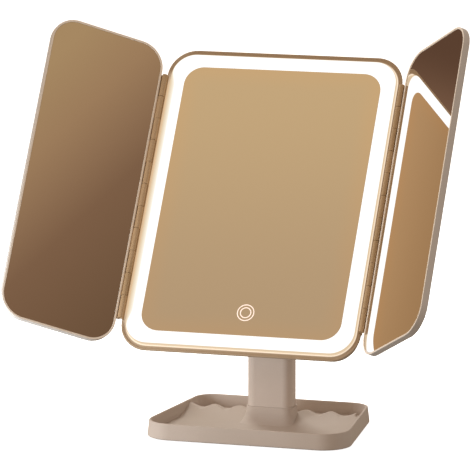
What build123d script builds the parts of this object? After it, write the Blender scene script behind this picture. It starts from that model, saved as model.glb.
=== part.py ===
from build123d import *
import os
from math import cos, pi, radians, sin

# Lighted trifold vanity mirror on a tray stand, in millimetres, +Z up.
# Origin: centre of the post, on the surface that the base rests on. The mirror faces -Y.
# The head is drawn in head_plane: x to the right, y up the panel, z out of its front glass.

os.makedirs("parts", exist_ok=True)

# Pose as set on the table
TILT = 33.6               # lean of the panel back from upright, degrees
LEFT_SWING = 36.3         # forward swing of each wing from flat open, degrees
RIGHT_SWING = 49.4

# Head outlines: half width, half height, corner radius
GLASS = (93.0, 130.8, 17.5)
BAND = (106.5, 143.3, 22.0)
BEZEL = (111.0, 148.7, 26.0)
SHELL = (110.5, 148.2, 25.5)
SHELL_CAVITY = (108.1, 145.8, 23.1)
BAND_FLANGE = (107.3, 144.9, 23.0)
LAMP_TRAY = (106.6, 144.2, 22.2)

# Head depths, measured from the front glass
GLASS_THICK = 3.0
BEZEL_FRONT = -3.2
BEZEL_BACK = -4.9
BAND_BACK = -6.2
LAMP_TRAY_FRONT = -8.3
LAMP_TRAY_BACK = -9.5
CAVITY_FLOOR = -15.8
SHELL_BACK = -18.0
SHELL_DRAFT = 19.0        # outer wall, degrees
CAVITY_DRAFT = 16.0       # inner wall

# Tilt hinge: axis along X through the top of the post
PIVOT_DEPTH = 40.7        # axis behind the front glass, at the panel's mid height
PIVOT_Z = 189.4
AXLE_R = 3.0
KNUCKLE_R = 12.0
KNUCKLE_HALF = 10.0
BUSH_R = 5.0
EAR_R = 11.0
EAR_IN, EAR_OUT = 11.0, 18.0
RUN_CLEARANCE = 0.05

# Wing hinges: one long pin each side, interleaved knuckles
HINGE_X = 112.0
HINGE_DEPTH = 0.2
HINGE_BARREL_R = 2.4
HINGE_PIN_R = 0.9
HINGE_HALF = 121.0
KNUCKLES = 11
KNUCKLE_SPLIT = 0.3
RAIL_IN, RAIL_OUT = 109.4, 111.0
RAIL_TOP, RAIL_BOTTOM = -2.5, -8.0

# Wings, measured from their hinge axis
WING_NEAR, WING_FAR = 2.7, 111.8
WING_HALF_H = 147.9
WING_DROP = 0.3           # wings hang this much below the head's middle
WING_CORNER = 23.5
WING_FRONT, WING_BACK = -1.4, -8.3
WING_RIM = 2.0
WING_RECESS = 0.5
WING_GLASS_THICK = 2.0
WING_FOAM_THICK = 1.0
LEAF_NEAR, LEAF_FRONT, LEAF_BACK = -0.4, -2.75, -3.75   # the wing's strip behind the knuckles

# Stand
POST = (42.2, 24.0, 8.0)  # width, depth, vertical edge radius
POST_WALL = 2.6
POST_BOTTOM = 5.0
POST_SHOULDER = 177.0
RIM_Z = 15.6
TRAY_FRONT_HALF, TRAY_BACK_HALF = 96.2, 81.0
TRAY_FRONT_Y, TRAY_BACK_Y = -95.3, 44.4
TRAY_FRONT_R, TRAY_BACK_R = 24.5, 18.0
TRAY_WALL = 2.0
TRAY_DRAFT = 7.0          # degrees, the walls lean in from a wider foot
TRAY_INSIDE_DRAFT = 7.0   # degrees, the well narrows to its floor
FOOT_ROUND = 1.2
RIM_ROUND = 0.7
UNDER_INSET = 1.0         # the recess under the tray, in from the rim's plan
PAD_INSET = 3.5
FLOOR_TOP, FLOOR_BOTTOM = 4.6, 3.0
SKIRT_Z = 0.9
PAD_THICK = 0.9
COVER_TOP = 1.9
BALLAST_TOP = 2.9
SOCKET_Z = 18.5
DIVIDER_Y, DIVIDER_FOOT_Y = 13.2, -22.0
CREST_Z, CREST_WAVE, CREST_PITCH = 11.2, 1.65, 23.6
CREST_PEAK_LEFT, CREST_PEAK_RIGHT = -34.4, 53.0

front_normal = (0, -cos(radians(TILT)), sin(radians(TILT)))
head_origin = Vector(0, 0, PIVOT_Z) + Vector(*front_normal) * PIVOT_DEPTH
head_plane = Plane(origin=head_origin, x_dir=(1, 0, 0), z_dir=front_normal)


def save(builder, name):
    """Label a finished piece and write its STEP file."""
    builder.part.label = name
    export_step(builder.part, f"parts/{name}.step")


def carried(plane, step):
    """The plane moved by a location or plane given in its own coordinates."""
    return Plane(plane * step)


def panel(outline, front, back, mode=Mode.ADD, taper=0.0, plane=head_plane):
    """Rounded rectangle plate parallel to the glass, from depth front to depth back."""
    half_w, half_h, corner = outline
    with BuildSketch(plane.offset(front)) as face:
        RectangleRounded(2 * half_w, 2 * half_h, corner)
    extrude(face.sketch, amount=back - front, taper=taper, mode=mode)


def rods(points, radius, front, back, mode=Mode.ADD, plane=head_plane):
    """Round rods or holes square to the glass at the points, from depth front to depth back."""
    with BuildSketch(plane.offset(front)) as face:
        with Locations(*points):
            Circle(radius)
    extrude(face.sketch, amount=back - front, mode=mode)


def blocks(points, width, height, front, back, mode=Mode.ADD, plane=head_plane):
    """Square-edged blocks on the points, width by height, from depth front to depth back."""
    with BuildSketch(plane.offset(front)) as face:
        with Locations(*points):
            Rectangle(width, height)
    extrude(face.sketch, amount=back - front, mode=mode)


def across(x_from, x_to, *circles, mode=Mode.ADD):
    """Discs or rings across the tilt axis between two X stations; circles are outer, inner."""
    with BuildSketch(Plane(origin=(x_from, 0, PIVOT_Z), x_dir=(0, 1, 0), z_dir=(1, 0, 0))) as face:
        Circle(circles[0])
        for inner in circles[1:]:
            Circle(inner, mode=Mode.SUBTRACT)
    extrude(face.sketch, amount=x_to - x_from, mode=mode)


# ---------------------------------------------------------------- head: glass and light

with BuildPart() as centre_mirror_glass:
    panel(GLASS, 0, -GLASS_THICK)
save(centre_mirror_glass, "centre_mirror_glass")

GLASS_GAP = 0.1
BAND_LEDGE = 3.5
with BuildPart() as light_band_diffuser:
    panel(BAND, 0, BEZEL_BACK - 0.1)
    panel(BAND_FLANGE, BEZEL_BACK - 0.05, BAND_BACK)
    panel([size - BAND_LEDGE for size in GLASS], 0, BAND_BACK, mode=Mode.SUBTRACT)
    panel([size + GLASS_GAP for size in GLASS], 0, -GLASS_THICK, mode=Mode.SUBTRACT)
    chamfer(light_band_diffuser.faces().filter_by(Axis(head_origin, front_normal)).sort_by(
        Axis(head_origin, front_normal))[-1].outer_wire().edges(), 0.8)
save(light_band_diffuser, "light_band_diffuser")

# LED strip under the light band, stuck to the lamp tray
STRIP_HALF_W, STRIP_HALF_H, STRIP_R = 99.0, 137.2, 20.0
STRIP_WIDTH, STRIP_THICK = 5.0, 0.25
CHIP = (2.8, 1.4, 0.8)
CHIP_PITCH = 11.0
CHIP_COLUMN_HALF, CHIP_ROW_HALF = 10, 7
with BuildPart() as led_strip:
    strip_top = LAMP_TRAY_FRONT + STRIP_THICK
    half = STRIP_WIDTH / 2
    panel((STRIP_HALF_W + half, STRIP_HALF_H + half, STRIP_R + half), strip_top, LAMP_TRAY_FRONT)
    panel((STRIP_HALF_W - half, STRIP_HALF_H - half, STRIP_R - half), strip_top, LAMP_TRAY_FRONT,
          mode=Mode.SUBTRACT)
save(led_strip, "led_strip")

column = [k * CHIP_PITCH for k in range(-CHIP_COLUMN_HALF, CHIP_COLUMN_HALF + 1)]
row = [k * CHIP_PITCH for k in range(-CHIP_ROW_HALF, CHIP_ROW_HALF + 1)]
LED_LEAD_X = (22.0, 25.0)
with BuildPart() as led_chips:
    chip_top = strip_top + CHIP[2]
    blocks([(side * STRIP_HALF_W, y) for side in (-1, 1) for y in column], CHIP[1], CHIP[0],
           chip_top, strip_top)
    blocks([(x, STRIP_HALF_H) for x in row], CHIP[0], CHIP[1], chip_top, strip_top)
    blocks([(x, -STRIP_HALF_H) for x in row if abs(x - LED_LEAD_X[0]) > 1], CHIP[0], CHIP[1],
           chip_top, strip_top)
save(led_chips, "led_chips")

# ---------------------------------------------------------------- head: lamp tray

TRAY_SCREWS = [(x, y) for x in (-70.0, 70.0) for y in (-110.0, 0.0, 110.0)]
BOARD_SCREWS = [(-12.0, -112.0), (36.0, -105.0)]
TOUCH = (3.5, -108.7)     # centre of the touch mark
LED_HOLE_Y = -130.0
SCREW_R = 1.25
TRAY_SCREW_TIP = -14.0    # screw tips, by depth
BRACKET_SCREW_TIP = -11.0
BOSS_TOP = -10.2          # bracket screw bosses inside the rear shell
BOARD_SCREW_R = 1.0
BOARD_BOSS_FRONT = -6.0
with BuildPart() as light_reflector_tray:
    panel(LAMP_TRAY, BAND_BACK - 0.05, LAMP_TRAY_BACK)
    panel([size - 1.5 for size in LAMP_TRAY], BAND_BACK - 0.05, LAMP_TRAY_FRONT, mode=Mode.SUBTRACT)
    rods(BOARD_SCREWS, 2.8, BOARD_BOSS_FRONT, LAMP_TRAY_FRONT)
    rods(TRAY_SCREWS, SCREW_R, LAMP_TRAY_FRONT, LAMP_TRAY_BACK, mode=Mode.SUBTRACT)
    rods(BOARD_SCREWS, BOARD_SCREW_R, BOARD_BOSS_FRONT, LAMP_TRAY_BACK, mode=Mode.SUBTRACT)
    rods([TOUCH], 4.0, LAMP_TRAY_FRONT, LAMP_TRAY_BACK, mode=Mode.SUBTRACT)
    rods([(x, LED_HOLE_Y) for x in LED_LEAD_X], 1.2, LAMP_TRAY_FRONT, LAMP_TRAY_BACK,
         mode=Mode.SUBTRACT)
save(light_reflector_tray, "light_reflector_tray")

with BuildPart() as reflector_tray_screws:
    rods(TRAY_SCREWS, 2.6, LAMP_TRAY_FRONT + 1.5, LAMP_TRAY_FRONT)
    rods(TRAY_SCREWS, SCREW_R, LAMP_TRAY_FRONT, TRAY_SCREW_TIP)
save(reflector_tray_screws, "reflector_tray_screws")

with BuildPart() as mirror_backing_foam:
    blocks([(x, y) for x in (-45, 45) for y in (-60, 60)], 40, 14, -GLASS_THICK, LAMP_TRAY_FRONT)
save(mirror_backing_foam, "mirror_backing_foam")

# ---------------------------------------------------------------- head: casing

NOTCH_HALF = HINGE_HALF + 0.3
RAIL_SLOT = RAIL_IN - 0.1
with BuildPart() as head_front_bezel:
    panel(BEZEL, BEZEL_FRONT, BEZEL_BACK)
    panel([size + 0.1 for size in BAND], BEZEL_FRONT, BEZEL_BACK, mode=Mode.SUBTRACT)
    for side in (-1, 1):
        blocks([(side * (RAIL_SLOT + 5), 0)], 10, 2 * NOTCH_HALF, BEZEL_FRONT, BEZEL_BACK,
               mode=Mode.SUBTRACT)
save(head_front_bezel, "head_front_bezel")

BRACKET_SCREWS = [(x, y) for x in (-22.0, 22.0) for y in (-16.0, 16.0)]
BRACKET_SCREW_R = 1.6
RIVET_Y = [-99.0, -55.0, -11.0, 33.0, 77.0]
RIVET_R = 1.2
RIVET_DEPTH = -6.4
USB = (30.0, -116.0)
USB_SIZE = (8.9, 3.2)
# x up the panel, y out of the front glass, z to the right
right_side = Plane(origin=head_origin, x_dir=head_plane.y_dir, z_dir=(1, 0, 0))


def rivet_rods(side, x_from, x_to, mode=Mode.ADD):
    """Rivet shanks or holes along X through one hinge rail, spaced up the panel."""
    with BuildSketch(right_side.offset(side * x_from)) as face:
        with Locations(*[(y, RIVET_DEPTH) for y in RIVET_Y]):
            Circle(RIVET_R)
    extrude(face.sketch, amount=side * (x_to - x_from), mode=mode)


with BuildPart() as head_rear_shell:
    panel(SHELL, BEZEL_BACK, SHELL_BACK, taper=SHELL_DRAFT)
    back_axis = Axis(head_origin, front_normal)
    fillet(head_rear_shell.faces().sort_by(back_axis)[0].edges(), 5.0)
    panel(SHELL_CAVITY, BEZEL_BACK, CAVITY_FLOOR, taper=CAVITY_DRAFT, mode=Mode.SUBTRACT)
    rods(TRAY_SCREWS, 3.5, LAMP_TRAY_BACK, CAVITY_FLOOR)
    rods(TRAY_SCREWS, SCREW_R, LAMP_TRAY_BACK, TRAY_SCREW_TIP, mode=Mode.SUBTRACT)
    rods(BRACKET_SCREWS, 4.0, BOSS_TOP, CAVITY_FLOOR)
    rods(BRACKET_SCREWS, BRACKET_SCREW_R, BRACKET_SCREW_TIP, SHELL_BACK, mode=Mode.SUBTRACT)
    with BuildSketch(head_plane.offset(CAVITY_FLOOR)) as usb_mouth:
        with Locations(USB):
            RectangleRounded(USB_SIZE[0] + 0.7, USB_SIZE[1] + 0.7, 1.9)
    extrude(usb_mouth.sketch, amount=SHELL_BACK - CAVITY_FLOOR, mode=Mode.SUBTRACT)
    for side in (-1, 1):
        blocks([(side * (RAIL_SLOT + 5), 0)], 10, 2 * NOTCH_HALF, BEZEL_BACK, RAIL_BOTTOM - 0.1,
               mode=Mode.SUBTRACT)
        rivet_rods(side, 107.0, RAIL_OUT, mode=Mode.SUBTRACT)
save(head_rear_shell, "head_rear_shell")

# ---------------------------------------------------------------- head: electronics

BOARD_FRONT, BOARD_BACK = LAMP_TRAY_BACK - 0.1, LAMP_TRAY_BACK - 1.3
BOARD_CENTRE = (12.0, -112.0)
BATTERY_PLUG = (-8.0, -102.5)
LED_PLUG = (23.5, -121.8)
with BuildPart() as control_board:
    blocks([BOARD_CENTRE], 56, 24, BOARD_FRONT, BOARD_BACK)
    rods(BOARD_SCREWS, BOARD_SCREW_R, BOARD_FRONT, BOARD_BACK, mode=Mode.SUBTRACT)
save(control_board, "control_board")

with BuildPart() as board_components:
    blocks([(0.0, -118.0)], 8, 7, BOARD_BACK, BOARD_BACK - 1.2)
    blocks([(14.0, -106.0)], 6, 6, BOARD_BACK, BOARD_BACK - 3.0)
    blocks([BATTERY_PLUG], 6, 4.6, BOARD_BACK, BOARD_BACK - 3.4)
    blocks([LED_PLUG], 6.4, 4.6, BOARD_BACK, BOARD_BACK - 3.4)
save(board_components, "board_components")

with BuildPart() as board_screws:
    rods(BOARD_SCREWS, 2.1, BOARD_BACK, BOARD_BACK - 1.3)
    rods(BOARD_SCREWS, BOARD_SCREW_R, BOARD_BACK, LAMP_TRAY_FRONT + 1.8)
save(board_screws, "board_screws")

USB_MOUTH_DEPTH = -17.4
with BuildPart() as usb_c_socket:
    for trim, front, mode in ((0.0, BOARD_BACK, Mode.ADD), (0.35, BOARD_BACK - 1.0, Mode.SUBTRACT)):
        with BuildSketch(head_plane.offset(front)) as face:
            with Locations(USB):
                RectangleRounded(USB_SIZE[0] - 2 * trim, USB_SIZE[1] - 2 * trim,
                                 USB_SIZE[1] / 2 - trim - 0.01)
        extrude(face.sketch, amount=USB_MOUTH_DEPTH - front, mode=mode)
    blocks([USB], 6.6, 0.7, BOARD_BACK, USB_MOUTH_DEPTH + 0.6)
save(usb_c_socket, "usb_c_socket")

PAD_DISC_THICK = 0.4
with BuildPart() as touch_sensor_pad:
    rods([TOUCH], 7.0, -GLASS_THICK, -GLASS_THICK - PAD_DISC_THICK)
save(touch_sensor_pad, "touch_sensor_pad")

with BuildPart() as touch_contact_spring:
    rods([TOUCH], 2.5, -GLASS_THICK - PAD_DISC_THICK, BOARD_FRONT)
    rods([TOUCH], 1.9, -GLASS_THICK - PAD_DISC_THICK, BOARD_FRONT, mode=Mode.SUBTRACT)
save(touch_contact_spring, "touch_contact_spring")

BATTERY_Y = 75.0
BATTERY_BACK = CAVITY_FLOOR + 0.4
with BuildPart() as battery_cell:
    panel((42, 30, 3), BATTERY_BACK + 5.0, BATTERY_BACK,
          plane=carried(head_plane, Pos(0, BATTERY_Y, 0)))
save(battery_cell, "battery_cell")

with BuildPart() as battery_tape:
    blocks([(0, BATTERY_Y - 16), (0, BATTERY_Y + 16)], 70, 14, BATTERY_BACK, CAVITY_FLOOR)
save(battery_tape, "battery_tape")

WIRE_R = 0.6
BATTERY_WIRE_DEPTH = BATTERY_BACK + 2.5
plug_top = BATTERY_PLUG[1] + 2.3
with BuildPart() as battery_lead:
    for shift in (-0.9, 0.9):
        with BuildLine(head_plane.offset(BATTERY_WIRE_DEPTH)) as route:
            FilletPolyline((shift + 6, BATTERY_Y - 30), (shift + 6, 20), (shift + BATTERY_PLUG[0], -40),
                           (shift + BATTERY_PLUG[0], plug_top), radius=20)
        with BuildSketch(Plane(origin=route.line @ 0, z_dir=route.line % 0)) as wire:
            Circle(WIRE_R)
        sweep(wire.sketch, path=route.line)
save(battery_lead, "battery_lead")

strip_wire_depth = strip_top + WIRE_R
plug_depth = BOARD_BACK - 1.7
with BuildPart() as led_lead:
    for x in LED_LEAD_X:
        with BuildLine(right_side.offset(x)) as route:
            FilletPolyline((-STRIP_HALF_H + 1, strip_wire_depth), (LED_HOLE_Y, strip_wire_depth),
                           (LED_HOLE_Y, plug_depth), (LED_PLUG[1] - 2.3, plug_depth), radius=1.4)
        with BuildSketch(Plane(origin=route.line @ 0, z_dir=route.line % 0)) as wire:
            Circle(WIRE_R)
        sweep(wire.sketch, path=route.line)
save(led_lead, "led_lead")

# ---------------------------------------------------------------- tilt hinge

BRACKET_BACK = SHELL_BACK - 3.0
with BuildPart() as tilt_bracket:
    panel((28, 22, 6), SHELL_BACK, BRACKET_BACK)
    for x_from in (-EAR_OUT, EAR_IN):
        with BuildSketch(right_side.offset(x_from)) as ear:
            with Locations((0, -PIVOT_DEPTH)):
                Circle(EAR_R)
            with Locations((0, (BRACKET_BACK - PIVOT_DEPTH) / 2)):
                Rectangle(2 * EAR_R, PIVOT_DEPTH + BRACKET_BACK)
            with BuildLine():
                Polyline((-16, BRACKET_BACK), (16, BRACKET_BACK), (EAR_R, BRACKET_BACK - 6),
                         (-EAR_R, BRACKET_BACK - 6), close=True)
            make_face()
        extrude(ear.sketch, amount=EAR_OUT - EAR_IN)
    rods(BRACKET_SCREWS, BRACKET_SCREW_R, SHELL_BACK, BRACKET_BACK, mode=Mode.SUBTRACT)
    across(-EAR_OUT, EAR_OUT, AXLE_R, mode=Mode.SUBTRACT)
save(tilt_bracket, "tilt_bracket")

with BuildPart() as tilt_bracket_screws:
    rods(BRACKET_SCREWS, 3.1, BRACKET_BACK, BRACKET_BACK - 2.2)
    rods(BRACKET_SCREWS, BRACKET_SCREW_R, BRACKET_SCREW_TIP, BRACKET_BACK)
    rods(BRACKET_SCREWS, 1.1, BRACKET_BACK - 1.2, BRACKET_BACK - 2.2, mode=Mode.SUBTRACT)
save(tilt_bracket_screws, "tilt_bracket_screws")

BOLT_END = -24.0
with BuildPart() as tilt_axle_bolt:
    across(BOLT_END, EAR_OUT, AXLE_R)
    across(EAR_OUT, EAR_OUT + 4.0, 5.0)
save(tilt_axle_bolt, "tilt_axle_bolt")

with BuildPart() as tilt_lock_nut:
    with BuildSketch(Plane(origin=(-EAR_OUT - 5.0, 0, PIVOT_Z), x_dir=(0, 1, 0), z_dir=(1, 0, 0))):
        RegularPolygon(5.0, 6, major_radius=False)
        Circle(AXLE_R, mode=Mode.SUBTRACT)
    extrude(amount=5.0)
save(tilt_lock_nut, "tilt_lock_nut")

with BuildPart() as friction_washers:
    for x_from in (KNUCKLE_HALF + 0.05, -EAR_IN):
        across(x_from, x_from + 0.95, 9.0, AXLE_R)
save(friction_washers, "friction_washers")

with BuildPart() as pivot_caps:
    for side in (-1, 1):
        across(side * EAR_OUT, side * (EAR_OUT + 7.5), 10.4)
        across(side * EAR_OUT, side * (EAR_OUT + 6.3), 6.6, mode=Mode.SUBTRACT)
    fillet(pivot_caps.faces().sort_by(Axis.X)[0].edges(), 1.0)
    fillet(pivot_caps.faces().sort_by(Axis.X)[-1].edges(), 1.0)
save(pivot_caps, "pivot_caps")

with BuildPart() as tilt_bush:
    across(-KNUCKLE_HALF, KNUCKLE_HALF, BUSH_R, AXLE_R + RUN_CLEARANCE)
save(tilt_bush, "tilt_bush")

# ---------------------------------------------------------------- wings and their hinges

knuckle_pitch = 2 * HINGE_HALF / KNUCKLES
knuckle_length = knuckle_pitch - KNUCKLE_SPLIT
knuckle_centres = [-HINGE_HALF + knuckle_pitch * (k + 0.5) for k in range(KNUCKLES)]
head_knuckles = knuckle_centres[0::2]
wing_knuckles = knuckle_centres[1::2]


def barrels(plane, centres, web, hole_r):
    """Hinge knuckles round the plane's y axis, each with a web block to the piece it belongs to."""
    for centre in centres:
        end = carried(plane, Plane((0, centre - knuckle_length / 2, 0), (1, 0, 0), (0, 1, 0)))
        with BuildSketch(end) as section:
            Circle(HINGE_BARREL_R)
            # this section's y runs into the panel, so depths change sign on it
            with Locations(((web[0] + web[1]) / 2, -(web[2] + web[3]) / 2)):
                Rectangle(abs(web[1] - web[0]), abs(web[3] - web[2]))
            Circle(hole_r, mode=Mode.SUBTRACT)
        extrude(section.sketch, amount=knuckle_length)


for side, swing, name in ((-1, LEFT_SWING, "left"), (1, RIGHT_SWING, "right")):
    hinge_plane = carried(head_plane, Pos(side * HINGE_X, 0, HINGE_DEPTH))
    wing_plane = carried(hinge_plane, Rot(0, -side * swing, 0))

    with BuildPart() as hinge_rail:
        rail_x = side * ((RAIL_IN + RAIL_OUT) / 2 - HINGE_X)
        blocks([(rail_x, 0)], RAIL_OUT - RAIL_IN, 2 * HINGE_HALF, RAIL_TOP - HINGE_DEPTH,
               RAIL_BOTTOM - HINGE_DEPTH, plane=hinge_plane)
        barrels(hinge_plane, head_knuckles, (side * -2.2, side * -0.8, RAIL_TOP - HINGE_DEPTH - 0.2, 0.0),
                HINGE_PIN_R)
        rivet_rods(side, RAIL_IN, RAIL_OUT, mode=Mode.SUBTRACT)
    save(hinge_rail, f"{name}_hinge_rail")

    with BuildPart() as rail_rivets:
        rivet_rods(side, 107.8, RAIL_OUT)
    save(rail_rivets, f"{name}_hinge_rivets")

    with BuildPart() as hinge_pin:
        pin_end = carried(hinge_plane, Plane((0, -HINGE_HALF + 0.6, 0), (1, 0, 0), (0, 1, 0)))
        with BuildSketch(pin_end):
            Circle(HINGE_PIN_R)
        extrude(amount=2 * (HINGE_HALF - 0.6))
    save(hinge_pin, f"{name}_hinge_pin")

    wing_centre_x = side * (WING_NEAR + WING_FAR) / 2
    wing_outline = ((WING_FAR - WING_NEAR) / 2, WING_HALF_H, WING_CORNER)
    wing_middle = carried(wing_plane, Pos(wing_centre_x, -WING_DROP, 0))
    glass_front = WING_FRONT - WING_RECESS
    glass_back = glass_front - WING_GLASS_THICK
    pocket_floor = glass_back - WING_FOAM_THICK

    with BuildPart() as wing_shell:
        panel(wing_outline, WING_FRONT, WING_BACK, plane=wing_middle)
        wing_axis = Axis(wing_middle.origin, wing_middle.z_dir)
        fillet(wing_shell.faces().sort_by(wing_axis)[0].edges(), 2.2)
        panel([size - WING_RIM for size in wing_outline], WING_FRONT, pocket_floor,
              mode=Mode.SUBTRACT, plane=wing_middle)
        barrels(wing_plane, wing_knuckles,
                (0.0, side * (WING_NEAR + 0.4), WING_FRONT - 0.15, -HINGE_BARREL_R),
                HINGE_PIN_R + RUN_CLEARANCE)
        leaf_end = WING_NEAR + 0.4
        blocks([(side * (LEAF_NEAR + leaf_end) / 2, 0)], leaf_end - LEAF_NEAR, 2 * HINGE_HALF,
               LEAF_FRONT, LEAF_BACK, plane=wing_plane)
    save(wing_shell, f"{name}_wing_shell")

    with BuildPart() as wing_mirror:
        panel([size - WING_RIM - 0.15 for size in wing_outline], glass_front, glass_back,
              plane=wing_middle)
    save(wing_mirror, f"{name}_wing_mirror")

    with BuildPart() as wing_foam:
        panel([size - WING_RIM - 4.0 for size in wing_outline], glass_back, pocket_floor,
              plane=wing_middle)
    save(wing_foam, f"{name}_wing_foam_pad")

# ---------------------------------------------------------------- stand: post

POST_SCREWS = [(-9.0, 0.0), (9.0, 0.0)]
POST_SCREW_R = 1.75
NECK_Z = 174.0
with BuildPart() as stand_post:
    with BuildSketch(Plane.XY.offset(POST_BOTTOM)):
        RectangleRounded(*POST)
    extrude(amount=POST_SHOULDER - POST_BOTTOM)
    fillet(stand_post.faces().sort_by(Axis.Z)[-1].edges(), 2.0)
    with BuildSketch(Plane.XY.offset(POST_BOTTOM)):
        RectangleRounded(POST[0] - 2 * POST_WALL, POST[1] - 2 * POST_WALL, POST[2] - POST_WALL)
    extrude(amount=NECK_Z - POST_BOTTOM, mode=Mode.SUBTRACT)
    with BuildSketch(Plane.XY.offset(POST_BOTTOM)):
        with Locations(*POST_SCREWS):
            Circle(4.2)
        Rectangle(POST[0] - 2 * POST_WALL, 2.4)
    extrude(amount=16)
    with BuildSketch(Plane.XY.offset(NECK_Z)):
        Rectangle(2 * KNUCKLE_HALF, 2 * KNUCKLE_R)
    extrude(amount=PIVOT_Z - NECK_Z)
    across(-KNUCKLE_HALF, KNUCKLE_HALF, KNUCKLE_R)
    across(-KNUCKLE_HALF, KNUCKLE_HALF, BUSH_R, mode=Mode.SUBTRACT)
    with BuildSketch(Plane.XY.offset(POST_BOTTOM)):
        with Locations(*POST_SCREWS):
            Circle(POST_SCREW_R)
    extrude(amount=14, mode=Mode.SUBTRACT)
save(stand_post, "stand_post")

# ---------------------------------------------------------------- stand: tray base


def tray_outline(inset):
    """The tray's plan inset from its rim edge: a trapezium with rounded corners, wider in front."""
    corners = [(-TRAY_FRONT_HALF, TRAY_FRONT_Y), (TRAY_FRONT_HALF, TRAY_FRONT_Y),
               (TRAY_BACK_HALF, TRAY_BACK_Y), (-TRAY_BACK_HALF, TRAY_BACK_Y)]
    with BuildSketch() as plan:
        with BuildLine():
            Polyline(*corners, close=True)
        make_face()
        fillet(plan.vertices().group_by(Axis.Y)[0], TRAY_FRONT_R)
        fillet(plan.vertices().group_by(Axis.Y)[-1], TRAY_BACK_R)
        if inset:
            offset(amount=-inset, mode=Mode.REPLACE)
    return plan.sketch


def tray_slab(inset, top, bottom, mode=Mode.ADD, taper=0.0):
    """A slab of the tray's plan between two heights."""
    extrude(Pos(0, 0, top) * tray_outline(inset), amount=bottom - top, taper=taper, mode=mode)


def pegs(points, radius, bottom, top, mode=Mode.ADD):
    """Upright pegs or holes at the points between two heights."""
    with BuildSketch(Plane.XY.offset(bottom)) as face:
        with Locations(*points):
            Circle(radius)
    extrude(face.sketch, amount=top - bottom, mode=mode)


with BuildPart() as tray_block:
    tray_slab(0, RIM_Z, SKIRT_Z, taper=-TRAY_DRAFT)
    fillet(tray_block.faces().sort_by(Axis.Z)[0].edges(), FOOT_ROUND)

with BuildPart() as dividers:
    # a ramp that rises to the divider's crest, cut down along a wave
    with BuildSketch(Plane.YZ.offset(-TRAY_FRONT_HALF)):
        with BuildLine():
            TangentArc((DIVIDER_FOOT_Y, FLOOR_TOP), (DIVIDER_Y - 1.8, CREST_Z + CREST_WAVE + 0.5),
                       tangent=(1, 0))
            Polyline((DIVIDER_Y - 1.8, CREST_Z + CREST_WAVE + 0.5), (DIVIDER_Y, CREST_Z + CREST_WAVE + 0.5),
                     (DIVIDER_Y, FLOOR_BOTTOM), (DIVIDER_FOOT_Y, FLOOR_BOTTOM),
                     (DIVIDER_FOOT_Y, FLOOR_TOP))
        make_face()
    extrude(amount=2 * TRAY_FRONT_HALF)
    for peak, x_from, x_to in ((CREST_PEAK_LEFT, -TRAY_FRONT_HALF - 1, 0),
                               (CREST_PEAK_RIGHT, 0, TRAY_FRONT_HALF + 1)):
        step = CREST_PITCH / 2
        first = peak - step * int((peak - x_from) / step)
        stations = [first + step * k for k in range(int((x_to - first) / step) + 1)]
        crest = [(x, CREST_Z + CREST_WAVE * cos(2 * pi * (x - peak) / CREST_PITCH)) for x in stations]
        with BuildSketch(Plane.XZ.offset(-DIVIDER_Y - 1)):
            with BuildLine():
                Spline(*crest, tangents=((1, 0), (1, 0)))
                Polyline(crest[-1], (x_to, crest[-1][1]), (x_to, RIM_Z + 1), (x_from, RIM_Z + 1),
                         (x_from, crest[0][1]), crest[0])
            make_face()
        extrude(amount=2 * DIVIDER_Y + 60, mode=Mode.SUBTRACT)
    add(tray_block.part, mode=Mode.INTERSECT)

# Front edge, half width and centre of the socket's collar at each height: it flares to the floor
COLLAR = ((SOCKET_Z, -13.2, 22.4), (12.5, -14.6, 22.6), (8.0, -19.0, 23.3),
          (FLOOR_TOP - 0.8, -31.0, 25.5))
COLLAR_BACK_Y = 13.2
with BuildPart() as collar:
    for z, front_y, half_w in COLLAR:
        with BuildSketch(Plane.XY.offset(z)):
            with Locations((0, (COLLAR_BACK_Y + front_y) / 2)):
                RectangleRounded(2 * half_w, COLLAR_BACK_Y - front_y, 9.0)
    loft()

COVER_SCREWS = [(x, 4.0) for x in (-72.0, -35.0, 35.0, 72.0)]
with BuildPart() as base_tray:
    add(tray_block.part)
    tray_slab(TRAY_WALL, RIM_Z, FLOOR_TOP, taper=TRAY_INSIDE_DRAFT, mode=Mode.SUBTRACT)
    add(dividers.part)
    add(collar.part)
    tray_slab(UNDER_INSET, FLOOR_BOTTOM, SKIRT_Z, mode=Mode.SUBTRACT)
    with BuildSketch(Plane.XY.offset(POST_BOTTOM)):
        RectangleRounded(POST[0] + 0.2, POST[1] + 0.2, POST[2] + 0.1)
    extrude(amount=SOCKET_Z, mode=Mode.SUBTRACT)
    pegs(POST_SCREWS, POST_SCREW_R, FLOOR_BOTTOM, POST_BOTTOM, mode=Mode.SUBTRACT)
    pegs(COVER_SCREWS, 1.2, FLOOR_BOTTOM, 7.5, mode=Mode.SUBTRACT)
    fillet(base_tray.edges().filter_by(lambda e: abs(e.center().Z - RIM_Z) < 0.01
                                       and abs(e.bounding_box().size.Z) < 0.01), RIM_ROUND)
save(base_tray, "base_tray")

with BuildPart() as ballast_plate:
    tray_slab(PAD_INSET, BALLAST_TOP, COVER_TOP)
    pegs(POST_SCREWS, 4.2, COVER_TOP, BALLAST_TOP, mode=Mode.SUBTRACT)
    pegs(COVER_SCREWS, 2.0, COVER_TOP, BALLAST_TOP, mode=Mode.SUBTRACT)
save(ballast_plate, "ballast_plate")

with BuildPart() as base_bottom_cover:
    tray_slab(UNDER_INSET + 0.2, COVER_TOP, SKIRT_Z)
    pegs(COVER_SCREWS, 2.3, SKIRT_Z, SKIRT_Z + 0.5, mode=Mode.SUBTRACT)
    pegs(COVER_SCREWS, 1.2, SKIRT_Z, COVER_TOP, mode=Mode.SUBTRACT)
save(base_bottom_cover, "base_bottom_cover")

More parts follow.
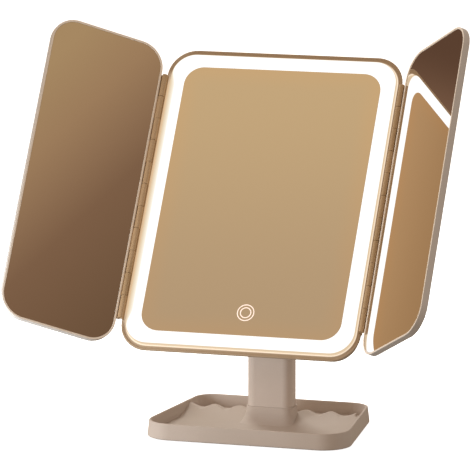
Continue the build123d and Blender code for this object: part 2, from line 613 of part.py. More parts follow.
with BuildPart() as anti_slip_pad:
    tray_slab(PAD_INSET, PAD_THICK, 0.0)
save(anti_slip_pad, "anti_slip_pad")

with BuildPart() as base_cover_screws:
    pegs(COVER_SCREWS, 2.3, SKIRT_Z, SKIRT_Z + 0.5)
    pegs(COVER_SCREWS, 1.2, SKIRT_Z + 0.5, 7.5)
save(base_cover_screws, "base_cover_screws")

with BuildPart() as post_screws:
    pegs(POST_SCREWS, 3.6, COVER_TOP + 0.05, FLOOR_BOTTOM)
    pegs(POST_SCREWS, POST_SCREW_R, FLOOR_BOTTOM, 18.0)
save(post_screws, "post_screws")
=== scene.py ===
import bpy
import numpy as np
from mathutils import Matrix


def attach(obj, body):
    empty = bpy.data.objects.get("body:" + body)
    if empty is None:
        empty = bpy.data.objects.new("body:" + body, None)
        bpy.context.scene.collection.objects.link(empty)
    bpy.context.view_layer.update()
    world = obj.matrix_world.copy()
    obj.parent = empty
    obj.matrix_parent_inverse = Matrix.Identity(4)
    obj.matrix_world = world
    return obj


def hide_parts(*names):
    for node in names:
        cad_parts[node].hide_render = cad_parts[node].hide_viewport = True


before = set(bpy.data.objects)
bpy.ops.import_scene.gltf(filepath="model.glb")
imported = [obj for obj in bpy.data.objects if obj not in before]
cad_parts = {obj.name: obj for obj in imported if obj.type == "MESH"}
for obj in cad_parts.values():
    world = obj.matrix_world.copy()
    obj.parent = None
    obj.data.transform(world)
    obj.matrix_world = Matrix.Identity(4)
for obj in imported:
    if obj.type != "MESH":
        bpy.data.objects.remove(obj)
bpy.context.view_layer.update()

# ---------------------------------------------------------------- studio: camera and lamps
# A long lens a little to the right of the mirror and a little above the table. A small soft lamp
# stands low and close on the left, so the right sides fall off, and a broad one high behind the
# mirror lights the inside of its tray.
MM = 0.001
camera_azimuth, camera_elevation = np.radians(17.03), np.radians(10.0)
to_camera = np.array([np.sin(camera_azimuth) * np.cos(camera_elevation),
                      -np.cos(camera_azimuth) * np.cos(camera_elevation), np.sin(camera_elevation)])
camera_right = np.array([np.cos(camera_azimuth), np.sin(camera_azimuth), 0.0])
camera_up = np.cross(to_camera, camera_right)
camera_distance = 4192.4
camera_place = (-33.63 * camera_right + 172.8 * camera_up + camera_distance * to_camera) * MM


def placed(axes, place):
    """The transform whose x, y and z axes are the three given, standing at a place."""
    return Matrix([[*row, spot] for row, spot in zip(np.array(axes).T, place)] + [[0, 0, 0, 1]])


camera = bpy.data.objects.new("camera", bpy.data.cameras.new("camera"))
bpy.context.scene.collection.objects.link(camera)
camera.matrix_world = placed((camera_right, camera_up, to_camera), camera_place)
camera.data.lens = 351.9
camera.data.clip_end = 60
bpy.context.scene.camera = camera
bpy.context.scene.view_settings.view_transform = "Standard"


def soft_lamp(name, place, size, watts, colour):
    """A square area lamp at a place, turned to shine at the middle of the stand."""
    lamp = bpy.data.objects.new(name, bpy.data.lights.new(name, "AREA"))
    bpy.context.scene.collection.objects.link(lamp)
    back = np.array(place) - np.array([0, 0, 0.15])
    back /= np.linalg.norm(back)
    side = np.cross([0, 0, 1], back)
    side /= np.linalg.norm(side)
    lamp.matrix_world = placed((side, np.cross(back, side), back), place)
    lamp.data.size, lamp.data.energy, lamp.data.color = size, watts, colour
    lamp.visible_glossy = False


soft_lamp("key_lamp", (-0.35, -0.35, 0.08), 0.15, 1.43, (0.82, 0.91, 1.0))
soft_lamp("back_lamp", (-0.4, 0.7, 0.9), 0.5, 9.8, (0.9, 0.98, 1.0))


# ---------------------------------------------------------------- studio: room and floor
# White behind the object for the camera, warm light on matt surfaces, paler from the right, and
# for polished ones a tan room with a brown side wall, whose tints drift across each mirror.
class Signal:
    """A socket of a shader tree. Arithmetic on it adds Math nodes to the tree."""

    def __init__(self, tree, socket):
        self.tree, self.socket = tree, socket

    def node(self, kind, settings=(), inputs=(), output=0):
        """A new node: its settings are made first, then values or signals go to its inputs."""
        made = self.tree.nodes.new(kind)
        for key, value in dict(settings).items():
            if key == "stops":
                for spot, colour in value[1:-1]:
                    made.color_ramp.elements.new(spot)
                for element, (spot, colour) in zip(made.color_ramp.elements, value):
                    element.position, element.color = spot, colour
            else:
                setattr(made, key, value)
        for key, value in dict(inputs).items():
            if isinstance(value, Signal):
                self.tree.links.new(value.socket, made.inputs[key])
            else:
                made.inputs[key].default_value = value
        return Signal(self.tree, made.outputs[output] if made.outputs else None)

    def maths(self, operation, *values):
        return self.node("ShaderNodeMath", {"operation": operation}, enumerate(values))

    def __add__(self, other):
        return self.maths("ADD", self, other)

    def __sub__(self, other):
        return self.maths("SUBTRACT", self, other)

    def __rsub__(self, other):
        return self.maths("SUBTRACT", other, self)

    def __mul__(self, other):
        return self.maths("MULTIPLY", self, other)

    __radd__, __rmul__ = __add__, __mul__

    def __truediv__(self, other):
        return self.maths("DIVIDE", self, other)

    def size(self):
        """This number without its sign."""
        return self.maths("ABSOLUTE", self)

    def along(self, direction):
        """How far this vector reaches along a direction: their dot product."""
        return self.node("ShaderNodeVectorMath", {"operation": "DOT_PRODUCT"},
                         {0: self, 1: tuple(direction)}, 1)

    def rise(self, low, high):
        """0 below low and 1 above high, with a smooth step between."""
        return self.node("ShaderNodeMapRange", {"interpolation_type": "SMOOTHSTEP"},
                         {"Value": self, "From Min": low, "From Max": high})

    def blend(self, first, second):
        """The first colour where this is 0, the second where it is 1."""
        return self.node("ShaderNodeMix", {"data_type": "RGBA"}, {0: self, 6: first, 7: second}, 2)

    def noise(self, scale, detail=2.0):
        """Cloudy noise at this place, about 0.5 on average."""
        return self.node("ShaderNodeTexNoise", (), {"Vector": self, "Scale": scale, "Detail": detail})


def tint(code, gain=1.0):
    """A six-digit screen colour as linear light, times a gain."""
    level = np.array([int(code[k:k + 2], 16) / 255 for k in (0, 2, 4)])
    linear = np.where(level <= 0.04045, level / 12.92, ((level + 0.055) / 1.055) ** 2.4)
    return (*(linear * gain), 1.0)


TILT = np.radians(33.6)
LEFT_SWING, RIGHT_SWING = np.radians(36.3), np.radians(49.4)
x_axis = np.array([1.0, 0.0, 0.0])
panel_up = np.array([0.0, np.sin(TILT), np.cos(TILT)])
panel_front = np.array([0.0, -np.cos(TILT), np.sin(TILT)])
wing_front = {"left": np.cos(LEFT_SWING) * panel_front + np.sin(LEFT_SWING) * x_axis,
              "right": np.cos(RIGHT_SWING) * panel_front - np.sin(RIGHT_SWING) * x_axis}
SILVER = 0.93


def drift(direction, facings, across, down, start, end):
    """0 to 1 over the directions that mirrors with these facings, one after the other, show to
    the camera. It runs from start to end, in millimetres from the middle of the view, at the
    object: across times the way to the right, plus down times the way down."""
    flip = np.eye(3)
    for facing in facings:
        flip = (np.eye(3) - 2 * np.outer(facing, facing)) @ flip
    slope = camera_distance * flip @ (across * camera_right - down * camera_up)
    level = slope @ flip @ -to_camera
    return (direction.along(slope) - (level + start)) * (1 / (end - start))


world = bpy.data.worlds.new("studio")
bpy.context.scene.world = world
world.use_nodes = True
room = world.node_tree
room.nodes.clear()
direction = Signal(room, room.nodes.new("ShaderNodeTexCoord").outputs["Generated"])
path = room.nodes.new("ShaderNodeLightPath")
middle = drift(direction, [panel_front], 0.0, 1.0, -150.6, 91.3).rise(0, 1).blend(
    tint("C4A67C", 1 / SILVER), tint("B49876", 1 / SILVER))
brown = direction.node("ShaderNodeValToRGB", {"stops": [
    (0.0, tint("A68862", 1 / SILVER)), (0.24, tint("9C7C5B", 1 / SILVER)),
    (0.42, tint("8C6D51", 1 / SILVER)), (0.57, tint("7C5E46", 1 / SILVER)),
    (1.0, tint("6B513B", 1 / SILVER))]},
    {"Fac": drift(direction, [wing_front["left"]], 0.7, 0.75, -235.6, -14.6)})
umber = drift(direction, [wing_front["right"]], -0.25, 0.7, -168.9, -95.9).rise(0, 1).blend(
    tint("5A4030", 1 / SILVER), tint("80604A", 1 / SILVER))
ochre = drift(direction, [wing_front["right"], panel_front], 1.0, 0.25, 118.7, 196.3).rise(0, 1).blend(
    tint("B28C63", 1 / SILVER ** 2), tint("9D7953", 1 / SILVER ** 2))
shown = direction.along((1, 0, 0)).rise(0.2, 0.4).blend(middle, brown)
shown = direction.along((-1, 0, 0)).rise(0.6, 0.75).blend(shown, ochre)
shown = direction.along((0, 1, 0)).rise(0.15, 0.35).blend(shown, umber)
soft = direction.along((1, 0, 0)).rise(0.0, 0.8).blend((1.0, 0.81, 0.64, 1), (0.86, 0.78, 0.72, 1))
lights = {}
for name, colour, strength in (("camera", (1, 1, 1, 1), 1.0), ("polished", shown, 1.0),
                               ("matt", soft, 0.76)):
    lights[name] = direction.node("ShaderNodeBackground", (), {"Color": colour, "Strength": strength})
seen = direction.node("ShaderNodeMixShader", (), {
    0: Signal(room, path.outputs["Is Glossy Ray"]), 1: lights["matt"], 2: lights["polished"]})
seen = direction.node("ShaderNodeMixShader", (), {
    0: Signal(room, path.outputs["Is Camera Ray"]), 1: seen, 2: lights["camera"]})
direction.node("ShaderNodeOutputWorld", (), {"Surface": seen})

FLOOR_HALF = 20.0
floor_mesh = bpy.data.meshes.new("floor")
floor_mesh.from_pydata([(x * FLOOR_HALF, y * FLOOR_HALF, 0)
                        for x, y in ((-1, -1), (1, -1), (1, 1), (-1, 1))], [], [(0, 1, 2, 3)])
floor = bpy.data.objects.new("floor", floor_mesh)
bpy.context.scene.collection.objects.link(floor)


def new_finish(name, **fixed):
    """A material and its Object coordinates; fixed values go straight to its shader's sockets."""
    material = bpy.data.materials.new(name)
    material.use_nodes = True
    shader = material.node_tree.nodes["Principled BSDF"]
    for key, value in fixed.items():
        shader.inputs[key.replace("_", " ")].default_value = value
    coordinates = material.node_tree.nodes.new("ShaderNodeTexCoord")
    return material, Signal(material.node_tree, coordinates.outputs["Object"])


def feed(material, **signals):
    """Links signals to the sockets of a material's shader that they are named for."""
    shader = material.node_tree.nodes["Principled BSDF"]
    for key, signal in signals.items():
        material.node_tree.links.new(signal.socket, shader.inputs[key.replace("_", " ")])
    return material


white_paper, place = new_finish("white_paper", Roughness=0.9, Emission_Strength=0.9)
to_lens = Signal(place.tree, place.node("ShaderNodeLightPath").socket.node.outputs["Is Camera Ray"])
to_mirror = Signal(place.tree, to_lens.socket.node.outputs["Is Glossy Ray"])
bounce = to_mirror.blend((0.08, 0.075, 0.07, 1), tint("C4A67C", 0.6))
paper = place.noise(3.0).blend((0.86, 0.86, 0.86, 1), (0.9, 0.9, 0.9, 1))
feed(white_paper, Base_Color=to_lens.blend((0.2, 0.19, 0.18, 1), paper),
     Emission_Color=to_lens.blend(bounce, (1, 1, 1, 1)))
floor_mesh.materials.append(white_paper)


# ---------------------------------------------------------------- stand: what the tray stands on
# A matt silicone pad glued under the bottom cover, the cover itself with its four screws, and a
# steel plate inside that keeps the mirror from tipping.
def dress(material, *nodes):
    """Gives CAD nodes a material in place of the plain one that they came with."""
    for node in nodes:
        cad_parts[node].material_slots[0].material = material


def grained(name, light, dark, roughness, scale=900.0, depth=0.00006, **fixed):
    """Moulded plastic or rubber: two near tints in soft clouds, and a fine eroded grain that
    shows in its roughness and in a shallow bump."""
    material, place = new_finish(name, **fixed)
    grain = place.noise(scale, 3.0)
    normal = place.node("ShaderNodeBump", (), {"Strength": 0.35, "Distance": depth, "Height": grain})
    return feed(material, Base_Color=(place.noise(14.0) * 0.8 + grain * 0.2).rise(0.35, 0.65).blend(
        tint(dark), tint(light)), Roughness=grain * 0.16 + (roughness - 0.08), Normal=normal)


def plated(name, light, dark, roughness, scale=400.0):
    """Plated or brushed metal: streaks of two tints across the piece, rougher where darker."""
    material, place = new_finish(name, Metallic=1.0)
    streaks = place.node("ShaderNodeMapping", (), {"Vector": place, "Scale": (1.0, 0.15, 1.0)}).noise(scale)
    return feed(material, Base_Color=streaks.rise(0.35, 0.65).blend(tint(dark), tint(light)),
                Roughness=(1 - streaks) * 0.2 + (roughness - 0.1))


dress(grained("matt_silicone", "4C4744", "3C3836", 0.85, 500.0, 0.0002), "anti_slip_pad")
dress(grained("cover_plastic", "9C8B7C", "918071", 0.6), "base_bottom_cover")
dress(plated("rolled_steel", "8E8E8C", "767674", 0.5, 120.0), "ballast_plate")
zinc = plated("zinc_plate", "C4C4C0", "9C9C98", 0.35)
dress(zinc, "base_cover_screws", "post_screws")

# ---------------------------------------------------------------- stand: tray and post
# The tray is one satin moulding: an open well in front, a scalloped divider, a trough behind,
# and a collar that flares up round the post. The post is a hollow moulding, screwed up from
# below, with an acetal bush pressed into the eye at its top. Its colour is painted a shade
# lighter than the tray's: painted light that stands in for the light the head above keeps off it.
greige = grained("greige_plastic", "C4B5A9", "BEAFA2", 0.46, Specular_IOR_Level=0.35)
dress(greige, "base_tray")
# The post's two tints are painted lighter than the tray's: painted light for the shade under the head.
dress(grained("post_plastic_painted_lighter", "CFC0B4", "C9BAAD", 0.46, Specular_IOR_Level=0.35), "stand_post")
acetal = grained("acetal", "E6E4DA", "DAD7CB", 0.35)
dress(acetal, "tilt_bush", "friction_washers")

# ---------------------------------------------------------------- tilt hinge
# A painted bracket screwed to the back of the head, whose two ears clasp the post's eye on a
# steel bolt with a lock nut and two friction washers, under a pressed-on cap each side.
dress(greige, "tilt_bracket", "pivot_caps")
dress(zinc, "tilt_bracket_screws", "tilt_axle_bolt", "tilt_lock_nut")

# ---------------------------------------------------------------- head: rear shell and what is in it
# The shell is a shallow satin moulding. Inside it a white lamp tray carries the LED strip and,
# on its back, the board with its charging socket, touch spring and plugs; a flat battery is
# taped to the shell's floor, and two-core leads join them.
dress(greige, "head_rear_shell")
dress(grained("white_reflector", "F2F1EC", "E8E7E1", 0.55), "light_reflector_tray")
dress(zinc, "reflector_tray_screws", "board_screws", "touch_contact_spring", "usb_c_socket")

board_ink, place = new_finish("white_board", Roughness=0.4)
tracks = place.node("ShaderNodeTexBrick", (), {
    "Vector": place, "Color1": tint("ECEDE8"), "Color2": tint("E2E4DE"), "Mortar": tint("B9BDB2"),
    "Scale": 160.0, "Mortar Size": 0.06})
dress(feed(board_ink, Base_Color=tracks), "control_board", "led_strip")
dress(grained("black_epoxy", "232325", "19191B", 0.5), "board_components")
phosphor, place = new_finish("phosphor", Roughness=0.3, Emission_Strength=1.0)
dress(feed(phosphor, Base_Color=place.noise(900.0).blend(tint("F3E08A"), tint("EBD678")),
           Emission_Color=place.noise(300.0).blend(tint("FFF6E4"), tint("FFF0D2"))), "led_chips")
dress(plated("tinned_copper", "D09A6C", "B27F55", 0.4), "touch_sensor_pad")

pouch, place = new_finish("pouch_foil", Metallic=0.9)
crinkle = place.node("ShaderNodeTexVoronoi", (), {"Vector": place, "Scale": 260.0})
dress(feed(pouch, Base_Color=crinkle.rise(0.0, 0.6).blend(tint("B9BBBC"), tint("D3D5D6")),
           Roughness=crinkle * 0.3 + 0.3, Normal=crinkle.node("ShaderNodeBump", (), {
               "Strength": 0.4, "Distance": 0.0001, "Height": crinkle})), "battery_cell")
dress(grained("foam", "E2E1DC", "CFCDC6", 0.9, 700.0, 0.0003),
      "mirror_backing_foam", "battery_tape", "left_wing_foam_pad", "right_wing_foam_pad")
dress(grained("red_sheath", "B9261F", "A01D18", 0.4), "battery_lead", "led_lead")


# ---------------------------------------------------------------- head: light band
# A frame of opal acrylic whose front stands proud of the bezel, with its outer edge rounded
# over. It is lit from behind: white over the lamps, warmer where it thins out at its rim,
# and warmest down the left, where the lamps sit further in.
def shrunk(outline, inset):
    """A rounded rectangle's half width, half height and corner radius, brought in all round."""
    return outline[0] - inset, outline[1] - inset, max(outline[2] - inset, 0.2)


def rolled(outline, inset, depth, radius, turns=5):
    """Stations that roll from a wall at this inset, over a quarter circle, on to a face at this
    depth: inset and depth follow one minus the sine and cosine of the angle."""
    angles = np.linspace(0, np.pi / 2, turns)
    return [(*shrunk(outline, inset + radius * (1 - np.cos(a))), depth - radius * (1 - np.sin(a)))
            for a in angles]


def rolled_in(outline, inset, depth, radius, turns=5):
    """Stations that roll from a face at this depth, over a quarter circle, down on to a wall at
    this inset, which faces the middle: rolled() run backwards, with its insets taken away."""
    angles = np.linspace(np.pi / 2, 0, turns)
    return [(*shrunk(outline, inset - radius * (1 - np.cos(a))), depth - radius * (1 - np.sin(a)))
            for a in angles]


QUARTER_STEPS = 14


def ring_points(stations, breaks=()):
    """Rings of points, one for each station (half width, half height, corner radius, depth).
    A point is its corner's centre plus the radius times the cosine and sine of its angle, for
    each quarter turn in order; breaks are heights with points of their own on the two sides."""
    stations = np.array(stations, float)
    angle = np.linspace(0, np.pi / 2, QUARTER_STEPS)
    wide, high, radius, depth = stations.T[:, :, None]
    columns = []
    for quarter, (sx, sy) in enumerate(((1, 1), (-1, 1), (-1, -1), (1, -1))):
        turn = angle + quarter * np.pi / 2
        columns.append(np.stack(np.broadcast_arrays(
            sx * (wide - radius) + radius * np.cos(turn), sy * (high - radius) + radius * np.sin(turn),
            depth), axis=-1))
        if quarter in (1, 3) and len(breaks):
            heights = np.sort(breaks)[::-1 if quarter == 1 else 1]
            columns.append(np.stack(np.broadcast_arrays(sx * wide, heights[None, :], depth), axis=-1))
    return np.concatenate(columns, axis=1)


def ring_faces(rings, around, closed, first=0):
    """Quads between neighbouring rings; a closed section joins the last ring to the first, an
    open one ends in two flat faces."""
    i = np.arange(rings if closed else rings - 1)[:, None]
    j = np.arange(around)[None, :]
    k, after = (i + 1) % rings, (j + 1) % around
    quads = np.stack(np.broadcast_arrays(i * around + j, i * around + after, k * around + after,
                                         k * around + j), axis=-1).reshape(-1, 4) + first
    faces = quads.tolist()
    if not closed:
        faces.append((first + np.arange(around)[::-1]).tolist())
        faces.append((first + (rings - 1) * around + np.arange(around)).tolist())
    return faces


def surface(name, points, faces, axes, origin, material, body, material_slot, *nodes, across=None):
    """A piece in its place: points in millimetres in a frame of three axes, made world metres.
    across, if given, is stored on the points for the material to read."""
    world_points = (points.reshape(-1, 3) @ np.array(axes) + origin) * MM
    mesh = bpy.data.meshes.new(name)
    mesh.from_pydata(world_points.tolist(), [], faces)
    if across is not None:
        mesh.attributes.new("across", "FLOAT", "POINT").data.foreach_set("value", across.ravel())
    mesh.polygons.foreach_set("use_smooth", [True] * len(mesh.polygons))
    mesh.set_sharp_from_angle(angle=np.radians(40))
    mesh.materials.append(material)
    piece = bpy.data.objects.new(name, mesh)
    bpy.context.scene.collection.objects.link(piece)
    piece.modifiers.new("flat_faces", "WEIGHTED_NORMAL").keep_sharp = True
    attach(piece, body)
    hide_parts(*nodes)
    return piece


def reach(stations, around):
    """For every point of the rings, how far its station is along the section from the first."""
    steps = np.diff(np.array(stations, float), axis=0)
    run = np.concatenate([[0], np.cumsum(np.hypot(steps[:, 0], steps[:, 3]))])
    return np.repeat(run[:, None], around, axis=1)


head_axes = (x_axis, panel_up, panel_front)
PIVOT_Z, PIVOT_DEPTH = 189.4, 40.7
head_origin = np.array([0, 0, PIVOT_Z]) + PIVOT_DEPTH * panel_front
GLASS, BAND, BAND_FLANGE = (93.0, 130.8, 17.5), (106.5, 143.3, 22.0), (107.3, 144.9, 23.0)
GLASS_BACK, BEZEL_BACK, BAND_BACK = -3.0, -4.9, -6.2
GLASS_SEAT, GLASS_LEDGE = shrunk(GLASS, -0.1), shrunk(GLASS, 3.5)
BAND_ROUND, SEAT_ROUND = 0.9, 0.4
band_section = [(*BAND, BEZEL_BACK - 0.1), *rolled(BAND, 0.0, 0.0, BAND_ROUND),
                *rolled_in(GLASS_SEAT, 0.0, 0.0, SEAT_ROUND), (*GLASS_SEAT, GLASS_BACK),
                (*GLASS_LEDGE, GLASS_BACK), (*GLASS_LEDGE, BAND_BACK), (*BAND_FLANGE, BAND_BACK),
                (*BAND_FLANGE, BEZEL_BACK - 0.05)]
band_points = ring_points(band_section)


def left_side(place):
    """1 down the straight left side of the head, falling to 0 round its two left corners."""
    height = (place.along(panel_up * 1000) - float(head_origin @ panel_up)).size()
    return place.along((-1000, 0, 0)).rise(84, 100) * (1 - height.rise(110, 130))


lit_acrylic, place = new_finish("lit_opal", Roughness=0.35, Emission_Strength=1.1)
rim = place.node("ShaderNodeAttribute", {"attribute_name": "across"}, (), 2)
edge = (rim - 5.0 + place.noise(60.0) * 0.2) / (left_side(place) * 4.6 + 0.5)
warmth = edge.node("ShaderNodeValToRGB", {"stops": [
    (0.0, tint("DCC3A2", 0.87)), (0.35, tint("EBDABF", 0.87)), (0.75, tint("FBF3E4", 0.87)),
    (1.0, (1, 1, 1, 1))]}, {"Fac": edge})
feed(lit_acrylic, Base_Color=place.noise(500.0).blend((0.05, 0.048, 0.045, 1), (0.08, 0.078, 0.072, 1)),
     Emission_Color=warmth)
surface("light_band", band_points, ring_faces(len(band_section), band_points.shape[1], True),
        head_axes, head_origin, lit_acrylic, "head", "opal_acrylic", "light_band_diffuser",
        across=reach(band_section, band_points.shape[1]))

# ---------------------------------------------------------------- head: front bezel
# A thin tan moulding snapped to the rear shell: a raised outer lip, then a shallow channel that
# catches the light band's glow. Its sides are cut back where the hinge rails pass.
BEZEL = (111.0, 148.7, 26.0)
LIP_FRONT, LIP_ROUND, CHANNEL = -3.2, 0.5, -3.9
CHANNEL_END = shrunk(BAND, -0.12)
RAIL_SLOT, RAIL_HALF = 109.3, 121.3
bezel_section = [(*BEZEL, BEZEL_BACK), *rolled(BEZEL, 0.0, LIP_FRONT, LIP_ROUND),
                 (*shrunk(BEZEL, 1.4), LIP_FRONT), (*shrunk(BEZEL, 1.7), LIP_FRONT - 0.12),
                 (*shrunk(BEZEL, 2.1), CHANNEL + 0.1), (*shrunk(BEZEL, 2.4), CHANNEL),
                 (*CHANNEL_END, CHANNEL), (*CHANNEL_END, BEZEL_BACK)]
bezel_points = ring_points(bezel_section, (-RAIL_HALF - 0.02, -RAIL_HALF, RAIL_HALF, RAIL_HALF + 0.02))
beside_rail = np.abs(bezel_points[..., 1]) <= RAIL_HALF
bezel_points[..., 0] = np.where(beside_rail, np.clip(bezel_points[..., 0], -RAIL_SLOT, RAIL_SLOT),
                                bezel_points[..., 0])

TAN, TAN_SHADE = "B49E84", "A8927A"
lit_tan, place = new_finish("lit_tan_plastic", Specular_IOR_Level=0.35, Emission_Strength=1.0)
grain = place.noise(900.0, 3.0)
left = left_side(place)
spill = place.node("ShaderNodeAttribute", {"attribute_name": "across"}, (), 2)
glow = spill.rise(5.0, 6.0) * (1 - left) + spill.rise(0.5, 5.2) * left
feed(lit_tan, Base_Color=grain.blend(tint(TAN_SHADE), tint(TAN)), Roughness=grain * 0.16 + 0.38,
     Emission_Color=glow.blend((0, 0, 0, 1), left.blend(tint("FFF4E2", 0.8), tint("DCC3A2", 0.75))),
     Normal=place.node("ShaderNodeBump", (), {"Strength": 0.35, "Distance": 0.00006, "Height": grain}))
surface("front_bezel", bezel_points, ring_faces(len(bezel_section), bezel_points.shape[1], True),
        head_axes, head_origin, lit_tan, "head", "bezel_plastic", "head_front_bezel",
        across=reach(bezel_section, bezel_points.shape[1]))

# ---------------------------------------------------------------- head: centre mirror
# Silvered float glass, 3 mm, with a fine seamed edge, bedded in the light band. A touch mark of
# two thin lit rings is etched through the silver low in the middle.
GLASS_SEAM = 0.5
glass_section = [(*GLASS, GLASS_BACK), *rolled(GLASS, 0.0, 0.0, GLASS_SEAM)]
glass_points = ring_points(glass_section)
silvered, place = new_finish("silvered_glass", Metallic=1.0, Roughness=0.0)
to_side = GLASS[0] - place.along((1000, 0, 0)).size()
height_up = place.along(panel_up * 1000) - float(head_origin @ panel_up)
to_end = GLASS[1] - height_up.size()
to_edge = to_side.maths("SMOOTH_MIN", to_side, to_end, 12.0)
feed(silvered, Base_Color=(to_edge + place.noise(22.0) * 8).rise(0, 26).blend(
    (0.985, 0.93, 0.875, 1), (SILVER, SILVER, SILVER, 1)))
surface("bevelled_centre_glass", glass_points, ring_faces(len(glass_section), glass_points.shape[1], False),
        head_axes, head_origin, silvered, "head", "silvered_glass", "centre_mirror_glass")

TOUCH = (3.5, -108.7)
MARK_RADII, MARK_STEPS = (7.55, 4.8), 64
MARK_LINE, MARK_PROUD = 0.45, 0.03
mark_points, mark_faces = [], []
for radius in MARK_RADII:
    turn = np.linspace(0, 2 * np.pi, MARK_STEPS, endpoint=False)[None, :]
    section = np.array([(MARK_LINE, -0.01), (MARK_LINE, MARK_PROUD), (-MARK_LINE, MARK_PROUD),
                        (-MARK_LINE, -0.01)])
    out, proud = radius + section[:, :1], section[:, 1:]
    rings = np.stack(np.broadcast_arrays(TOUCH[0] + out * np.cos(turn), TOUCH[1] + out * np.sin(turn),
                                         proud), axis=-1)
    mark_faces += ring_faces(len(section), MARK_STEPS, True,
                             first=len(section) * MARK_STEPS * len(mark_points))
    mark_points.append(rings)
lit_mark, place = new_finish("lit_touch_mark", Roughness=0.4, Emission_Strength=1.0)
feed(lit_mark, Base_Color=place.noise(400.0).blend(tint("E8D6CA"), tint("E0CCBE")),
     Emission_Color=place.noise(90.0).blend(tint("DCC6BA", 0.8), tint("EBDAD0", 0.8)))
surface("touch_mark", np.array(mark_points), mark_faces, head_axes, head_origin, lit_mark, "head",
        "opal_acrylic")

# ---------------------------------------------------------------- wing hinges
# Down each side of the head runs a tan rail, riveted through the shell wall, with six knuckles;
# five more and the strip behind them belong to the wing, and one long steel pin holds all eleven.
HINGE_X, HINGE_DEPTH, HINGE_HALF = 112.0, 0.2, 121.0
KNUCKLE_COUNT, KNUCKLE_SPLIT = 11, 0.3
BARREL_R, BARREL_STEPS, BARREL_EDGE, PIN_HOLE_R = 2.4, 32, 0.3, 0.95
WEB_END, WEB_FRONT = 3.1, -1.55
LEAF_NEAR, LEAF_FRONT, LEAF_BACK = -0.4, -2.75, -3.75
tan = grained("tan_plastic", "C0A27E", "B09470", 0.46, Specular_IOR_Level=0.35)
dress(tan, "left_hinge_rail", "right_hinge_rail")
dress(zinc, "left_hinge_pin", "right_hinge_pin")
dress(plated("anodised", "C9B69C", "B5A186", 0.4), "left_hinge_rivets", "right_hinge_rivets")
pitch = 2 * HINGE_HALF / KNUCKLE_COUNT
half_knuckle = (pitch - KNUCKLE_SPLIT) / 2
wing_axes, wing_origin = {}, {}
for side, name in ((-1, "left"), (1, "right")):
    outward = np.cross(panel_up, wing_front[name])
    wing_axes[name] = (outward, panel_up, wing_front[name])
    wing_origin[name] = head_origin + side * HINGE_X * x_axis + HINGE_DEPTH * panel_front
    barrel = np.array([(-half_knuckle, PIN_HOLE_R), (-half_knuckle, BARREL_R - BARREL_EDGE),
                       (-half_knuckle + BARREL_EDGE, BARREL_R), (half_knuckle - BARREL_EDGE, BARREL_R),
                       (half_knuckle, BARREL_R - BARREL_EDGE), (half_knuckle, PIN_HOLE_R)])
    turn = np.linspace(0, 2 * np.pi, BARREL_STEPS, endpoint=False)[None, :]
    web, leaf = (np.array([(x, y, z) for z in depths for y in (-half_long, half_long) for x in ends])
                 * (side, 1, 1) for ends, half_long, depths in (
        ((0.0, WEB_END), half_knuckle, (-BARREL_R, WEB_FRONT)),
        ((LEAF_NEAR, WEB_END), HINGE_HALF, (LEAF_BACK, LEAF_FRONT))))
    box_faces = np.array([(0, 2, 3, 1), (4, 5, 7, 6), (0, 1, 5, 4), (2, 6, 7, 3), (0, 4, 6, 2),
                          (1, 3, 7, 5)])[:, ::side]
    points, faces = [leaf], box_faces.tolist()
    for index in range(1, KNUCKLE_COUNT, 2):
        centre = -HINGE_HALF + pitch * (index + 0.5)
        ring = np.stack(np.broadcast_arrays(barrel[:, 1:] * np.sin(turn), centre + barrel[:, :1],
                                            barrel[:, 1:] * np.cos(turn)), axis=-1).reshape(-1, 3)
        start = sum(len(group) for group in points)
        faces += ring_faces(len(barrel), BARREL_STEPS, True, first=start)
        faces += (box_faces + start + len(ring)).tolist()
        points += [ring, web + (0, centre, 0)]
    surface(f"{name}_wing_knuckles", np.concatenate(points), faces, wing_axes[name], wing_origin[name],
            tan, f"{name}_wing", "bezel_plastic", f"{name}_wing_shell")
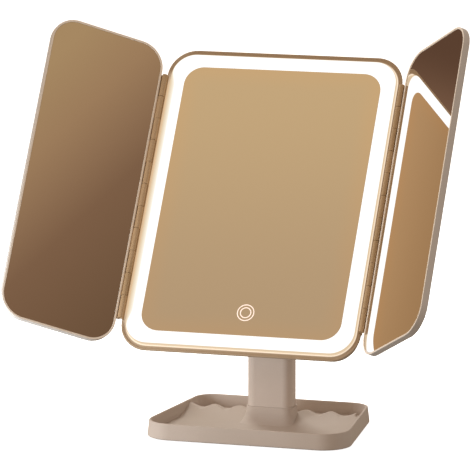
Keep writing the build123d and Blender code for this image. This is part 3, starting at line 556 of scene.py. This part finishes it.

# ---------------------------------------------------------------- wings
# Each wing is a thin satin moulding with a raised rim, whose front is painted near white: partly a
# paler rim, partly a painted highlight. Its mirror is 2 mm silvered glass laid in the rim on a foam
# pad, and it carries no light of its own.
WING_NEAR, WING_FAR, WING_DROP = 2.7, 111.8, 0.3
WING = ((WING_FAR - WING_NEAR) / 2, 147.9, 23.5)
WING_FRONT, WING_BACK, POCKET_FLOOR = -1.4, -8.3, -4.9
RIM_WIDTH, RIM_OUTER_ROUND, RIM_INNER_ROUND, BACK_ROUND = 2.0, 0.45, 0.35, 2.2
back_roll = [(*shrunk(WING, BACK_ROUND * (1 - np.sin(a))), WING_BACK + BACK_ROUND * (1 - np.cos(a)))
             for a in np.linspace(0, np.pi / 2, 8)]
wing_section = [*back_roll, *rolled(WING, 0.0, WING_FRONT, RIM_OUTER_ROUND),
                *rolled_in(WING, RIM_WIDTH, WING_FRONT, RIM_INNER_ROUND),
                (*shrunk(WING, RIM_WIDTH), POCKET_FLOOR)]
wing_points = ring_points(wing_section)
rim_plastic, place = new_finish("greige_plastic_painted_rim_highlight", Specular_IOR_Level=0.4)
grain = place.noise(900.0, 3.0)
on_rim = place.node("ShaderNodeAttribute", {"attribute_name": "across"}, (), 2)
# Past 8.1 mm along the section, the rim's front, inner round and inner wall are painted near white: a
# painted highlight on a paler rim.
feed(rim_plastic, Base_Color=(on_rim + grain * 0.1).rise(8.1, 8.5).blend(tint("C6BEB6"), tint("F0E2D2")),
     Roughness=grain * 0.16 + 0.36,
     Normal=place.node("ShaderNodeBump", (), {"Strength": 0.35, "Distance": 0.00006, "Height": grain}))
wing_silver, place = new_finish("wing_silver", Metallic=1.0, Roughness=0.0)
feed(wing_silver, Base_Color=place.noise(18.0).blend((0.92, 0.92, 0.92, 1), (0.94, 0.94, 0.94, 1)))
for side, name in ((-1, "left"), (1, "right")):
    middle_of_wing = wing_origin[name] + side * (WING_NEAR + WING_FAR) / 2 * wing_axes[name][0] \
        - WING_DROP * panel_up
    surface(f"{name}_wing_case", wing_points, ring_faces(len(wing_section), wing_points.shape[1], False),
            wing_axes[name], middle_of_wing, rim_plastic, f"{name}_wing", "body_plastic",
            f"{name}_wing_shell", across=reach(wing_section, wing_points.shape[1]))
    dress(wing_silver, f"{name}_wing_mirror")
